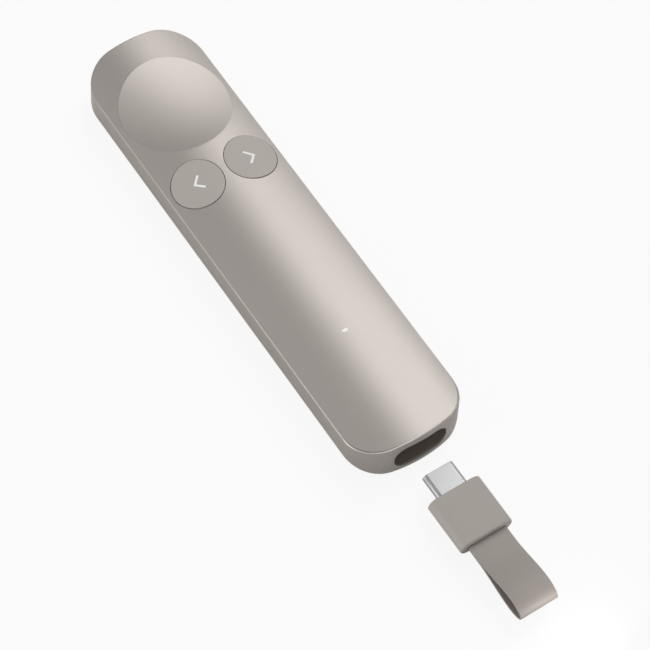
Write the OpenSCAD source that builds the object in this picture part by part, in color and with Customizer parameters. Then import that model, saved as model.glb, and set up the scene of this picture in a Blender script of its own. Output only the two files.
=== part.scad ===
// Wireless presentation clicker with a plug-in receiver that docks in its tail.
// Origin: centre of the flat base. +Y points to the pointing end, +X to the right, +Z up.

/* [Body] */
// Length over the rim
body_l = 127.5; // [124:0.5:132]
// Width of the body
body_w = 30.4; // [29.8:0.1:31.2]
// Height of the rim along the sides
side_h = 8.9; // [8.7:0.1:9.4]
// Rise of the arched cover above the side rim
crown_h = 3.1; // [3:0.1:3.4]
// Corner radius at the tail
tail_corner_r = 9.5; // [8:0.5:11]
// Radius of the bowed tail end
tail_end_r = 38.5; // [32:0.5:50]
// Corner radius at the pointing end
front_corner_r = 10.2; // [9:0.2:11]
// Radius of the bowed pointing end
front_end_r = 80; // [60:1:120]
// Rounding of the long bottom edges
edge_r = 3; // [2:0.5:3.5]
// Rounding of the bottom edges at the two ends
end_edge_r = 1.5; // [1:0.1:2]
// How far the foot of the tail wall stands behind its rim
tail_lean = 0.9; // [0:0.1:1]
// Wall of the tub
wall_t = 1.2; // [1:0.1:1.3]
// Floor of the tub
floor_t = 1.2; // [1:0.1:1.2]
// Width of the tub's rim outside the cover
lip_t = 0.35; // [0.3:0.05:0.5]
// Thickness of the cover
cover_t = 1.2; // [1:0.1:1.3]

/* [Buttons] */
// Distance from the body's side to the nearest edge of a button
button_side_gap = 1.4; // [1.4:0.1:2]
// Distance from the pointing end to the pointer button
dish_end_gap = 7.9; // [7.4:0.1:8.4]
// Depth of its dish below the crown
dish_depth = 1.27; // [1:0.05:1.4]
// Travel of the pointer button
dish_travel = 0.5; // [0.3:0.1:0.6]
// Distance between the two small buttons
key_mid_gap = 2; // [1.6:0.1:2.4]
// Distance between a small button and the pointer button
dish_key_gap = 3.2; // [3:0.1:4]
// Travel of a small button
key_travel = 0.4; // [0.2:0.1:0.5]
// Hairline round the pointer button
dish_gap = 0.05; // [0.04:0.01:0.1]
// Gap round a small button
key_gap = 0.16; // [0.1:0.02:0.2]
// Height of an arrow, tip to tip across the body's length
arrow_l = 4.1; // [3:0.1:5]
// Depth of an arrow from its tips to its point
arrow_w = 2.05; // [1.5:0.05:2.5]
// Stroke of an arrow
arrow_stroke = 0.55; // [0.4:0.05:0.8]

/* [Light] */
// Distance from the tail's rim to the status light
light_inset = 31.85; // [31:0.05:33]
// Length of the light slit across the body
light_w = 1.7; // [1.2:0.1:2.2]
// Width of the light slit
light_t = 0.8; // [0.6:0.1:1]

/* [Dock] */
// Width of the dock opening
dock_w = 14.4; // [14.4:0.1:15]
// Height of the dock opening
dock_h = 7.3; // [7.1:0.05:7.3]
// Depth of the dock from the rim of the tail
dock_d = 13; // [12:0.5:14]
// Radius of the dock opening's lower corners
dock_low_r = 3; // [2.8:0.1:3.1]
// Height of the plug's axis above the base
axis_z = 5.2; // [5.2:0.05:5.3]
// Height of the dock's middle above the plug's axis
dock_rise = 0.8; // [0.7:0.05:0.8]
// Wall of the dock's lining
sleeve_t = 0.5; // [0.4:0.05:0.5]

/* [Receiver] */
// Width of the plug
plug_w = 8.25; // [8.2:0.01:8.3]
// Thickness of the plug
plug_t = 2.4; // [2.35:0.01:2.45]
// Length of the plug outside the housing
plug_l = 6.4; // [6:0.1:6.7]
// Gap between the tail's rim and the plug's tip, as it lies pulled out
park_gap = 6.65; // [4:0.05:12]
// Width of the receiver's housing
case_w = 14.2; // [13.4:0.1:14.2]
// Thickness of the receiver's housing
case_t = 5; // [4.6:0.1:5.6]
// Length of the receiver's housing
case_l = 13.2; // [12.6:0.1:14]

/* [Strap] */
// Width of the strap
strap_w = 10.3; // [9:0.1:10.6]
// Thickness of one layer of the strap
strap_t = 0.55; // [0.5:0.05:0.6]
// Length of the strap outside the housing
strap_l = 20.3; // [16:0.1:26]
// Outer half height of the strap's loop
loop_half = 2.3; // [2:0.05:2.4]
// Reach of the loop's round nose past its thickest place
nose_reach = 4.5; // [3:0.1:5]
// Rise of the loop's middle above the dock's axis
loop_lift = 0.1; // [0:0.02:0.1]

/* [Hidden] */
$fn = 96;

// One overrun serves every cut
over = 0.5;
fit_gap = 0.05;
slide_gap = 0.1;

// Steps of the arcs in an outline
corner_steps = 9;
end_steps = 5;
edge_steps = 7;

// Heights and radii that follow the body
body_h = side_h + crown_h;
half_w = body_w / 2;
half_l = body_l / 2;
arch_r = (half_w * half_w + crown_h * crown_h) / (2 * crown_h);
cover_seat_z = side_h - 2 * cover_t;

// Places of the buttons and the light
dish_r = half_w - button_side_gap;
dish_y = half_l - dish_end_gap - dish_r;
key_r = (half_w - button_side_gap - key_mid_gap / 2) / 2;
key_x = key_mid_gap / 2 + key_r;
key_y = dish_y - sqrt(pow(dish_r + key_r + dish_key_gap, 2) - key_x * key_x);
light_y = -half_l + light_inset;

// Tub: a thicker foot to its wall, and the board's bosses
foot_t = 0.8;
foot_h = 1.8;
boss_r = 1.9;
screw_r = 0.8;
screw_head_r = 1.5;
screw_head_h = 0.9;
screw_floor_t = 0.8;
screw_side_inset = 4.6;
screw_x = half_w - screw_side_inset;
screw_end_inset = 7.5;
screw_rear_gap = 5;

// Cover hooks
hook_l = 3;
hook_t = 0.8;
hook_h = 2.4;
hook_barb = 0.35;
hook_barb_h = 0.9;
hook_rear_inset = 16;
hook_front_inset = 12.75;
hook_mid_gap = 8;
hook_key_gap = 6;

// Charging socket, as its standard gives it
socket_w = 8.94;
socket_h = 3.16;
socket_l = 7.3;
socket_skin = 0.3;
socket_back_l = 1.2;
tongue_w = 6.69;
tongue_t = 0.7;
tongue_short = 1;
plug_skin = 0.25;
plug_mouth_w = 6.95;
plug_mouth_h = 0.95;
plug_mouth_l = 5.6;
plug_root_l = 2.5;
pad_w = 0.25;
pad_t = 0.04;
pad_l = 3.4;
pad_pitch = 0.5;
pads_a_side = 12;
sleeve_mouth_gap = 0.3;

// Board
board_t = 0.8;
board_gap = 0.3;
board_rear_gap = 0.9;
board_front_gap = 1.2;
board_top_z = axis_z - socket_h / 2;
board_rear_y = -half_l + dock_d + sleeve_t + board_rear_gap;
board_front_y = half_l - wall_t - foot_t - board_front_gap;

// Switches and the buttons' posts
switch_w = 5;
switch_h = 1.8;
switch_floor_t = 0.35;
stem_r = 1.25;
stem_rise = 0.9;
stem_gap = 0.1;
stem_end_gap = 0.15;
stem_top_z = board_top_z + switch_h + stem_rise;
dish_post_r = 2.2;
key_post_r = 1.7;
dish_skirt = 0.9;
key_skirt = 0.3;
dish_floor_z = side_h - dish_skirt;
key_floor_z = side_h - key_skirt;
ear_h = 0.8;
ear_reach = 1.4;
dish_ear_w = 8;
key_ear_w = 5;
ear_gap = 0.12;
arrow_depth = 0.4;
arrow_shift = 0.25;

// Dish: a saddle that meets the arch along the button's edge
dish_long_r = (dish_r * dish_r + dish_depth * dish_depth) / (2 * dish_depth);
dish_cross_r = 1 / (1 / arch_r - 1 / dish_long_r);

// Status light
led_w = 1.6;
led_l = 0.8;
led_h = 0.6;
lens_flange = 0.5;
lens_flange_h = 0.8;

// Battery, its pad, its connector and its leads
battery_w = 20;
battery_h = 4.4;
battery_rear_gap = 4.4;
battery_front_gap = 4.85;
battery_rear_y = light_y + screw_rear_gap + screw_head_r + battery_rear_gap;
pad_h = 0.5;
battery_socket_w = 5;
battery_socket_l = 3;
battery_socket_h = 1.8;
lead_r = 0.45;
lead_l = 2.5;
lead_pitch = 1.8;
battery_l = key_y - switch_w / 2 - battery_front_gap - battery_socket_l - lead_l - battery_rear_y;

// Chips: width, length and height of each
processor_size = [6, 6, 0.9];
shield_size = [14, 7.5, 1.7];
shield_skin = 0.2;
radio_size = [6, 5, 0.9];
antenna_size = [3.2, 1.6, 1.2];
sensor_size = [3, 3, 0.9];
charge_size = [3, 3, 0.8];
chip_gap = 1.5;
motor_r = 4;
motor_h = 2.8;
motor_gap = 0.5;

// Receiver
plug_tip_y = -half_l - park_gap;
case_front_y = plug_tip_y - plug_l;
case_skin = 0.8;
case_board_w = 10;
case_board_l = 5;
case_board_t = 0.6;
case_chip_size = [4, 3, 0.8];
strap_root_l = 4.4;
strap_pin_r = 0.8;
strap_pin_inset = 2.2;
pin_seat = 0.9;
strap_steps = 14;
strap_split_share = 0.25;
nose_steps = 12;

// One quarter of an end: from the middle of the end to the side, as an arc and a corner
function quarter(half, corner, bow) =
  let (
    rise = bow - sqrt(pow(bow - corner, 2) - pow(half - corner, 2)),
    turn = atan2(rise - bow, half - corner)
  )
  concat(
    [for (i = [0:end_steps]) let (a = -90 + (turn + 90) * i / end_steps)
      [bow * cos(a), bow + bow * sin(a)]],
    [for (i = [1:corner_steps]) let (a = turn * (1 - i / corner_steps))
      [half - corner + corner * cos(a), rise + corner * sin(a)]]
  );

// The plan of the body, drawn in from its rim at the sides and at the ends
function plan(side_in, end_in, tail_out) =
  let (
    tail = quarter(half_w - side_in, tail_corner_r - side_in, tail_end_r - side_in),
    front = quarter(half_w - side_in, front_corner_r - side_in, front_end_r - side_in),
    tail_y = -half_l - tail_out + end_in,
    front_y = half_l - end_in,
    n = end_steps + corner_steps
  )
  concat(
    [for (i = [0:n]) [tail[i][0], tail_y + tail[i][1]]],
    [for (i = [n:-1:0]) [front[i][0], front_y - front[i][1]]],
    [for (i = [1:n]) [-front[i][0], front_y - front[i][1]]],
    [for (i = [n:-1:1]) [-tail[i][0], tail_y + tail[i][1]]]
  );

// How far a rounded edge of radius r draws in at height z
function round_in(r, z) = z < r ? r - sqrt(r * r - pow(r - z, 2)) : 0;
function lean_out(z) = tail_lean * (1 - z / body_h);

// Heights at which the body's outer form has a ring, and the ring at a height
form_levels = concat(
  [for (k = [0:edge_steps]) edge_r * (1 - cos(90 * k / edge_steps))],
  [body_h + over]
);
function ring(z) = [for (p = plan(round_in(edge_r, z), round_in(end_edge_r, z), lean_out(z)))
  [p[0], p[1], z]];

// The body's whole outer form, without its arch: rings joined by triangles
module body_form() {
  n = 4 * (end_steps + corner_steps) + 2;
  top = len(form_levels) - 1;
  polyhedron(
    points = [for (z = form_levels) each ring(z)],
    faces = concat(
      [[for (i = [0:n - 1]) i]],
      [for (k = [0:top - 1]) for (i = [0:n - 1])
        [k * n + i, (k + 1) * n + i, (k + 1) * n + (i + 1) % n]],
      [for (k = [0:top - 1]) for (i = [0:n - 1])
        [k * n + i, (k + 1) * n + (i + 1) % n, k * n + (i + 1) % n]],
      [[for (i = [n - 1:-1:0]) top * n + i]]
    )
  );
}

// Everything under the arched top, sunk by drop
module under_arch(drop) {
  translate([0, 0, body_h - arch_r])
    rotate([90, 0, 0])
      cylinder(r = arch_r - drop, h = body_l + 4 * wall_t, center = true, $fn = 256);
}

// Upright prism of the plan, drawn in by side_in, from one height to another
module plan_prism(side_in, from_z, to_z) {
  translate([0, 0, from_z])
    linear_extrude(height = to_z - from_z)
      polygon(plan(side_in, side_in, 0));
}

// Flat bar with round sides, along Y from its middle
module rounded_bar(w, h, l) {
  cube([w - h, l, h], center = true);
  for (side = [-1, 1])
    translate([side * (w - h) / 2, 0, 0])
      rotate([90, 0, 0])
        cylinder(d = h, h = l, center = true);
}

// The same bar between two places along Y, on the plug's axis
module axis_bar(w, h, from_y, to_y) {
  translate([0, (from_y + to_y) / 2, axis_z])
    rounded_bar(w, h, to_y - from_y);
}

// Bar of the dock's section, grown all round, with full round upper sides and tighter lower
// corners
module dock_bar(grow, from_y, to_y) {
  high_r = dock_h / 2 + grow;
  low_r = dock_low_r + grow;
  high_x = (dock_w - dock_h) / 2;
  low_x = dock_w / 2 - dock_low_r;
  top_z = dock_h / 2 + grow;
  side_x = dock_w / 2 + grow;
  translate([0, to_y, axis_z + dock_rise])
    rotate([90, 0, 0]) {
      linear_extrude(to_y - from_y)
        polygon([
          [high_x, top_z], [side_x, 0], [side_x, dock_low_r - dock_h / 2], [low_x, -top_z],
          [-low_x, -top_z], [-side_x, dock_low_r - dock_h / 2], [-side_x, 0], [-high_x, top_z],
        ]);
      for (side = [-1, 1]) {
        translate([side * high_x, 0, 0])
          cylinder(r = high_r, h = to_y - from_y);
        translate([side * low_x, dock_low_r - dock_h / 2, 0])
          cylinder(r = low_r, h = to_y - from_y);
      }
    }
}

// Block that stands on the board
module on_board(size, x, y) {
  translate([x - size[0] / 2, y - size[1] / 2, board_top_z])
    cube(size);
}

// Places of the board's screws
module at_screws() {
  for (side = [-1, 1])
    for (y = [board_front_y - screw_end_inset, light_y + screw_rear_gap])
      translate([side * screw_x, y, 0])
        children();
}

// Places of the cover's hooks, each turned to face its wall
module at_hooks() {
  for (side = [0, 1])
    for (y = [-half_l + hook_rear_inset, light_y + hook_mid_gap,
        key_y - key_r - hook_key_gap, half_l - hook_front_inset])
      mirror([side, 0, 0])
        translate([half_w - wall_t, y, 0])
          children();
}

// Side view of a hook: a leg with a barb that looks outwards
module hook_form(grow) {
  top_z = side_h;
  low_z = side_h - cover_t - hook_h;
  rotate([90, 0, 0])
    linear_extrude(height = hook_l + 2 * grow, center = true)
      polygon([
        [-fit_gap - hook_t - grow, top_z],
        [-fit_gap, top_z],
        [-fit_gap, low_z + hook_barb_h + grow],
        [hook_barb + grow, low_z + hook_barb_h / 2 + grow],
        [hook_barb + grow, low_z + hook_barb_h / 2 - grow],
        [-fit_gap, low_z - grow],
        [-fit_gap - hook_t - grow, low_z - grow]
      ]);
}

module bottom_shell() {
  color([0.60, 0.57, 0.54])
    difference() {
      union() {
        difference() {
          intersection() {
            body_form();
            under_arch(0);
          }
          difference() {
            plan_prism(lip_t, cover_seat_z - over, body_h + 2 * over);
            under_arch(cover_t);
          }
          plan_prism(wall_t, floor_t + foot_h, body_h + 2 * over);
          plan_prism(wall_t + foot_t, floor_t, body_h);
          dock_bar(sleeve_t, -half_l - 2 * wall_t, -half_l + 3 * wall_t);
          at_hooks() hook_form(slide_gap);
        }
        at_screws()
          translate([0, 0, floor_t - fit_gap])
            cylinder(r = boss_r, h = board_top_z - board_t - floor_t + fit_gap);
      }
      at_screws()
        translate([0, 0, screw_floor_t])
          cylinder(r = screw_r + fit_gap / 2, h = board_top_z);
    }
}

module top_shell() {
  color([0.75, 0.71, 0.68]) {
    difference() {
      union() {
        difference() {
          intersection() {
            plan_prism(lip_t + fit_gap, cover_seat_z - over, body_h + over);
            under_arch(0);
          }
          under_arch(cover_t);
        }
        intersection() {
          at_hooks() hook_form(0);
          under_arch(cover_t / 2);
        }
      }
      translate([0, dish_y, 0])
        cylinder(r = dish_r + dish_gap, h = body_h + over);
      for (side = [-1, 1])
        translate([side * key_x, key_y, 0])
          cylinder(r = key_r + key_gap, h = body_h + over);
      light_bar(light_w + fit_gap, light_t + fit_gap, 0, body_h + over);
    }
  }
}

// Upright slot with round ends at the status light
module light_bar(w, t, from_z, to_z) {
  translate([0, light_y, from_z]) {
    translate([-(w - t) / 2, -t / 2, 0])
      cube([w - t, t, to_z - from_z]);
    for (side = [-1, 1])
      translate([side * (w - t) / 2, 0, 0])
        cylinder(d = t, h = to_z - from_z);
  }
}

// The saddle above the pointer button: a spool that turns about an axis along X
module saddle() {
  translate([0, dish_y, body_h - dish_depth + dish_long_r])
    rotate([0, 90, 0])
      rotate_extrude($fn = 192)
        difference() {
          translate([0, -dish_r - over])
            square([dish_long_r + dish_r, 2 * (dish_r + over)]);
          translate([dish_long_r + dish_cross_r, 0])
            circle(r = dish_cross_r);
        }
}

module pointer_button() {
  color([0.74, 0.70, 0.67]) {
    difference() {
      translate([0, dish_y, dish_floor_z])
        cylinder(r = dish_r, h = body_h - dish_floor_z + over);
      saddle();
    }
    translate([0, dish_y, stem_top_z])
      cylinder(r = dish_post_r, h = dish_floor_z - stem_top_z);
    translate([-dish_ear_w / 2, dish_y - dish_r - ear_reach, dish_ear_z - ear_h])
      cube([dish_ear_w, 2 * (dish_r + ear_reach), ear_h]);
  }
}

// Height of the arch's underside at a distance x from the centre line
function cover_under(x) = body_h - arch_r + sqrt(pow(arch_r - cover_t, 2) - x * x);
dish_ear_z = cover_under(dish_ear_w / 2) - ear_gap;
key_ear_z = cover_under(key_x + key_ear_w / 2) - ear_gap;

// Small button, at the side given; the arrow's pocket is cut by its own module
module key_cap(side) {
  difference() {
    intersection() {
      translate([side * key_x, key_y, key_floor_z])
        cylinder(r = key_r, h = body_h - key_floor_z);
      under_arch(0);
    }
    arrow_form(side, over);
  }
  translate([side * key_x, key_y, stem_top_z])
    cylinder(r = key_post_r, h = key_floor_z - stem_top_z);
  translate([side * key_x - key_ear_w / 2, key_y - key_r - ear_reach, key_ear_z - ear_h])
    cube([key_ear_w, 2 * (key_r + ear_reach), ear_h]);
}

// Chevron that points away from the centre line
module arrow_form(side, rise) {
  across = arrow_stroke * sqrt(2);
  low_z = body_h - arch_r + sqrt(arch_r * arch_r - pow(key_x + arrow_w, 2)) - arrow_depth;
  mirror([side < 0 ? 1 : 0, 0, 0])
    translate([key_x + arrow_shift - arrow_w / 2, key_y, low_z])
      linear_extrude(height = body_h - low_z + rise)
        polygon([
          [0, arrow_l / 2],
          [arrow_w, 0],
          [0, -arrow_l / 2],
          [-across / 2, across / 2 - arrow_l / 2],
          [arrow_w - across, 0],
          [-across / 2, arrow_l / 2 - across / 2]
        ]);
}

module back_button() {
  color([0.66, 0.63, 0.60]) key_cap(-1);
}

module next_button() {
  color([0.68, 0.65, 0.62]) key_cap(1);
}

module back_arrow() {
  color([0.95, 0.95, 0.93])
    intersection() {
      arrow_form(-1, 0);
      under_arch(0);
    }
}

module next_arrow() {
  color([0.95, 0.95, 0.93])
    intersection() {
      arrow_form(1, 0);
      under_arch(0);
    }
}

module status_lens() {
  color([0.97, 0.97, 0.97]) {
    intersection() {
      light_bar(light_w, light_t, board_top_z + led_h + slide_gap, body_h + over);
      under_arch(0);
    }
    light_bar(light_w + 2 * lens_flange, light_t + 2 * lens_flange,
      cover_under(light_w) - fit_gap - lens_flange_h, cover_under(light_w) - fit_gap);
  }
}

module status_led() {
  color([1, 1, 0.95])
    on_board([led_w, led_l, led_h], 0, light_y);
}

module main_board() {
  color([0.10, 0.30, 0.18])
    difference() {
      intersection() {
        plan_prism(wall_t + foot_t + board_gap, board_top_z - board_t, board_top_z);
        translate([-half_w, board_rear_y, 0])
          cube([body_w, board_front_y - board_rear_y, body_h]);
      }
      at_screws()
        cylinder(r = screw_r + slide_gap, h = body_h);
    }
}

module board_screws() {
  color([0.75, 0.75, 0.77])
    at_screws() {
      translate([0, 0, board_top_z])
        cylinder(r = screw_head_r, h = screw_head_h);
      translate([0, 0, screw_floor_t + slide_gap])
        cylinder(r = screw_r, h = board_top_z - screw_floor_t - slide_gap);
    }
}

// Tactile switch: a body with a bore, and the stem that moves in it
module switch_body(x, y) {
  difference() {
    on_board([switch_w, switch_w, switch_h], x, y);
    translate([x, y, board_top_z + switch_floor_t])
      cylinder(r = stem_r + stem_gap, h = switch_h);
  }
}

module switch_stem(x, y, travel) {
  low_z = board_top_z + switch_floor_t + travel + stem_end_gap;
  translate([x, y, low_z])
    cylinder(r = stem_r, h = stem_top_z - low_z);
}

module pointer_switch() {
  color([0.20, 0.20, 0.22]) switch_body(0, dish_y);
}

module back_switch() {
  color([0.20, 0.20, 0.22]) switch_body(-key_x, key_y);
}

module next_switch() {
  color([0.20, 0.20, 0.22]) switch_body(key_x, key_y);
}

module pointer_stem() {
  color([0.90, 0.90, 0.88]) switch_stem(0, dish_y, dish_travel);
}

module back_stem() {
  color([0.90, 0.90, 0.88]) switch_stem(-key_x, key_y, key_travel);
}

module next_stem() {
  color([0.90, 0.90, 0.88]) switch_stem(key_x, key_y, key_travel);
}

module processor() {
  color([0.12, 0.12, 0.13])
    on_board(processor_size, 0, (dish_y + key_y) / 2);
}

shield_y = light_y - led_l - chip_gap - shield_size[1] / 2;

module radio_shield() {
  color([0.78, 0.78, 0.80])
    difference() {
      on_board(shield_size, 0, shield_y);
      translate([0, 0, -shield_skin])
        on_board([shield_size[0] - 2 * shield_skin, shield_size[1] - 2 * shield_skin,
          shield_size[2]], 0, shield_y);
    }
}

module radio_chip() {
  color([0.12, 0.12, 0.13])
    on_board(radio_size, 0, shield_y);
}

module chip_antenna() {
  color([0.85, 0.85, 0.80])
    on_board(antenna_size, motor_r + chip_gap, board_front_y - antenna_size[1]);
}

module motion_sensor() {
  color([0.15, 0.15, 0.16])
    on_board(sensor_size, -processor_size[0] - chip_gap, (dish_y + key_y) / 2);
}

module vibration_motor() {
  color([0.72, 0.72, 0.74])
    translate([0, board_front_y - motor_r - motor_gap, board_top_z])
      cylinder(r = motor_r, h = motor_h);
}

module charge_chip() {
  color([0.12, 0.12, 0.13])
    on_board(charge_size, socket_w / 2 + charge_size[0], board_rear_y + socket_l / 2);
}

module battery_pad() {
  color([0.25, 0.25, 0.26])
    translate([-battery_w / 2, battery_rear_y, board_top_z])
      cube([battery_w, battery_l, pad_h]);
}

module battery() {
  color([0.80, 0.80, 0.82])
    translate([0, battery_rear_y + battery_l / 2, board_top_z + pad_h + battery_h / 2])
      rounded_bar(battery_w, battery_h, battery_l);
}

module battery_socket() {
  color([0.92, 0.90, 0.84])
    on_board([battery_socket_w, battery_socket_l, battery_socket_h], 0,
      battery_rear_y + battery_l + lead_l + battery_socket_l / 2);
}

module battery_leads() {
  color([0.75, 0.15, 0.12])
    for (side = [-1, 1])
      translate([side * lead_pitch / 2, battery_rear_y + battery_l, board_top_z + pad_h + lead_r])
        rotate([-90, 0, 0])
          cylinder(r = lead_r, h = lead_l);
}

sleeve_floor_y = -half_l + dock_d;

module dock_sleeve() {
  color([0.25, 0.21, 0.19])
    difference() {
      intersection() {
        dock_bar(sleeve_t - slide_gap / 2, -half_l - 2 * wall_t, sleeve_floor_y + sleeve_t);
        body_form();
      }
      dock_bar(0, -half_l - 3 * wall_t, sleeve_floor_y);
      axis_bar(plug_w + sleeve_mouth_gap, plug_t + sleeve_mouth_gap,
        sleeve_floor_y - over, sleeve_floor_y + sleeve_t + over);
    }
}

socket_front_y = sleeve_floor_y + sleeve_t + fit_gap;

module socket_shell() {
  color([0.80, 0.80, 0.81])
    difference() {
      axis_bar(socket_w, socket_h, socket_front_y, socket_front_y + socket_l);
      axis_bar(socket_w - 2 * socket_skin, socket_h - 2 * socket_skin,
        socket_front_y - over, socket_front_y + socket_l + over);
    }
}

module socket_tongue() {
  color([0.13, 0.13, 0.14]) {
    axis_bar(socket_w - 2 * socket_skin, socket_h - 2 * socket_skin,
      socket_front_y + socket_l - socket_back_l, socket_front_y + socket_l);
    translate([-tongue_w / 2, socket_front_y + tongue_short, axis_z - tongue_t / 2])
      cube([tongue_w, socket_l - tongue_short - socket_back_l / 2, tongue_t]);
  }
}

module plug_shell() {
  color([0.82, 0.83, 0.84])
    difference() {
      axis_bar(plug_w, plug_t, case_front_y - plug_root_l, plug_tip_y);
      axis_bar(plug_w - 2 * plug_skin, plug_t - 2 * plug_skin,
        case_front_y - plug_root_l - over, plug_tip_y + over);
    }
}

module plug_insert() {
  color([0.12, 0.12, 0.13])
    difference() {
      axis_bar(plug_w - 2 * plug_skin, plug_t - 2 * plug_skin,
        case_front_y - plug_root_l, plug_tip_y - plug_skin);
      translate([-plug_mouth_w / 2, plug_tip_y - plug_mouth_l, axis_z - plug_mouth_h / 2])
        cube([plug_mouth_w, plug_mouth_l + over, plug_mouth_h]);
    }
}

module plug_contacts() {
  color([0.85, 0.68, 0.30])
    for (i = [0:pads_a_side - 1])
      for (face = [-1, 1])
        translate([(i - (pads_a_side - 1) / 2) * pad_pitch, plug_tip_y - plug_mouth_l + pad_l / 2,
          axis_z + face * (plug_mouth_h - pad_t) / 2])
          cube([pad_w, pad_l, pad_t], center = true);
}

board_root_y = case_front_y - plug_root_l;
strap_pin_y = case_front_y - case_l + strap_pin_inset;

module receiver_housing() {
  color([0.64, 0.60, 0.57])
    difference() {
      axis_bar(case_w, case_t, case_front_y - case_l, case_front_y);
      axis_bar(plug_w + fit_gap, plug_t + fit_gap, board_root_y, case_front_y + over);
      translate([-case_board_w / 2 - fit_gap, board_root_y - case_board_l - fit_gap,
        axis_z - case_t / 2 + case_skin])
        cube([case_board_w + 2 * fit_gap, case_board_l + 2 * fit_gap, case_t - 2 * case_skin]);
      translate([-(strap_w + slide_gap) / 2, case_front_y - case_l - over,
        axis_z - strap_t - fit_gap])
        cube([strap_w + slide_gap, strap_root_l + over + fit_gap, 2 * (strap_t + fit_gap)]);
      translate([0, strap_pin_y, axis_z - strap_t - pin_seat])
        cylinder(r = strap_pin_r, h = 2 * (strap_t + pin_seat));
    }
}

module receiver_board() {
  color([0.10, 0.30, 0.18])
    translate([-case_board_w / 2, board_root_y - case_board_l,
      axis_z - case_t / 2 + case_skin])
      cube([case_board_w, case_board_l, case_board_t]);
}

module receiver_chip() {
  color([0.12, 0.12, 0.13])
    translate([-case_chip_size[0] / 2, board_root_y - case_board_l / 2 - case_chip_size[1] / 2,
      axis_z - case_t / 2 + case_skin + case_board_t])
      cube(case_chip_size);
}

// Smooth rise from 0 to 1
function ease(u) = let (v = max(0, min(1, u))) v * v * (3 - 2 * v);

// Strap's side view: along from the housing's tail, up from the dock's axis
nose_l = strap_l - nose_reach;
function strap_mid(u) = loop_lift * ease(u);
function strap_half(u) =
  strap_t + (loop_half - strap_t) * ease((u - strap_split_share) / (1 - strap_split_share));

// Points along one face of the strap, from its split or its root, and round its nose
function strap_face(cut, side, from_i) = [for (i = [from_i:strap_steps])
  let (u = from_i > 0 ? strap_split_share + (1 - strap_split_share) * i / strap_steps
                      : i / strap_steps)
    [nose_l * u, strap_mid(u) + side * (strap_half(u) - cut)]];
function strap_nose(cut) = [for (i = [1:nose_steps - 1]) let (a = 90 - 180 * i / nose_steps)
  [nose_l + (nose_reach - cut) * cos(a), loop_lift + (loop_half - cut) * sin(a)]];
function backwards(list) = [for (i = [len(list) - 1:-1:0]) list[i]];

// Outline of the strap, with its straight root, and of the eye in its loop
strap_outline = concat([[-strap_root_l, strap_t]], strap_face(0, 1, 0), strap_nose(0),
  backwards(strap_face(0, -1, 0)), [[-strap_root_l, -strap_t]]);
strap_eye = concat([[nose_l * strap_split_share, strap_mid(strap_split_share)]],
  strap_face(strap_t, 1, 2), strap_nose(strap_t), backwards(strap_face(strap_t, -1, 2)));

module strap() {
  color([0.60, 0.56, 0.53])
    difference() {
      translate([strap_w / 2, case_front_y - case_l, axis_z])
        rotate([90, 0, -90])
          linear_extrude(height = strap_w)
            difference() {
              polygon(strap_outline);
              polygon(strap_eye);
            }
      translate([0, strap_pin_y, 0])
        cylinder(r = strap_pin_r + fit_gap, h = body_h);
    }
}

module strap_pin() {
  color([0.75, 0.75, 0.77])
    translate([0, strap_pin_y, axis_z - strap_t - pin_seat])
      cylinder(r = strap_pin_r, h = 2 * (strap_t + pin_seat));
}

bottom_shell();
top_shell();
pointer_button();
back_button();
next_button();
back_arrow();
next_arrow();
status_lens();
status_led();
main_board();
board_screws();
pointer_switch();
back_switch();
next_switch();
pointer_stem();
back_stem();
next_stem();
processor();
radio_shield();
radio_chip();
chip_antenna();
motion_sensor();
vibration_motor();
charge_chip();
battery();
battery_pad();
battery_socket();
battery_leads();
dock_sleeve();
socket_shell();
socket_tongue();
plug_shell();
plug_insert();
plug_contacts();
receiver_housing();
receiver_board();
receiver_chip();
strap();
strap_pin();
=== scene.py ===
from math import atan2, cos, exp, hypot, pi, radians, sin, sqrt

import bmesh
import bpy
from mathutils import Matrix, Vector


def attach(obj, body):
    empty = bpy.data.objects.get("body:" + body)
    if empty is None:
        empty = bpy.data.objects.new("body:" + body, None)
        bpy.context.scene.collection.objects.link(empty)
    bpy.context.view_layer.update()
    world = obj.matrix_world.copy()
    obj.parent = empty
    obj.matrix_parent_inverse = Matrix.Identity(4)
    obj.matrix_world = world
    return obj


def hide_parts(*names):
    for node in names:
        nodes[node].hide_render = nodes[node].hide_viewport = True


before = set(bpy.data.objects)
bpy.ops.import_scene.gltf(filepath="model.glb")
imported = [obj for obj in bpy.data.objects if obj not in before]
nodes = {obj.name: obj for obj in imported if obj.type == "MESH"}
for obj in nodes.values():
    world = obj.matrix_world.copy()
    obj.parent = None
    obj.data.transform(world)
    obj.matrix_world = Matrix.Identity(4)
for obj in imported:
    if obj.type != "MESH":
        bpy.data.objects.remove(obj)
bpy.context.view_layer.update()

scene = bpy.context.scene
scene.view_settings.view_transform = "Standard"


# The picture's viewpoint: a long lens from behind the tail, high on the left side.
# Its place and turn were fitted to the body's outline, the buttons and the plug.
lens_mm = 144.05
sensor_mm = 36
near_m = 0.01
far_m = 20
eye = Vector((-0.194853, -0.25688, 0.532141))
right_way = Vector((0.83147, -0.55189, 0.06384))
ahead = Vector((0.31956, 0.3811, -0.86755))

camera_data = bpy.data.cameras.new("camera")
camera_data.lens = lens_mm
camera_data.sensor_width = sensor_mm
camera_data.clip_start = near_m
camera_data.clip_end = far_m
camera = bpy.data.objects.new("camera", camera_data)
scene.collection.objects.link(camera)
back_way = -ahead.normalized()
up_way = back_way.cross(right_way).normalized()
right_way = up_way.cross(back_way).normalized()
turn = Matrix((right_way, up_way, back_way)).transposed()
camera.matrix_world = Matrix.Translation(eye) @ turn.to_4x4()
scene.camera = camera


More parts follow.
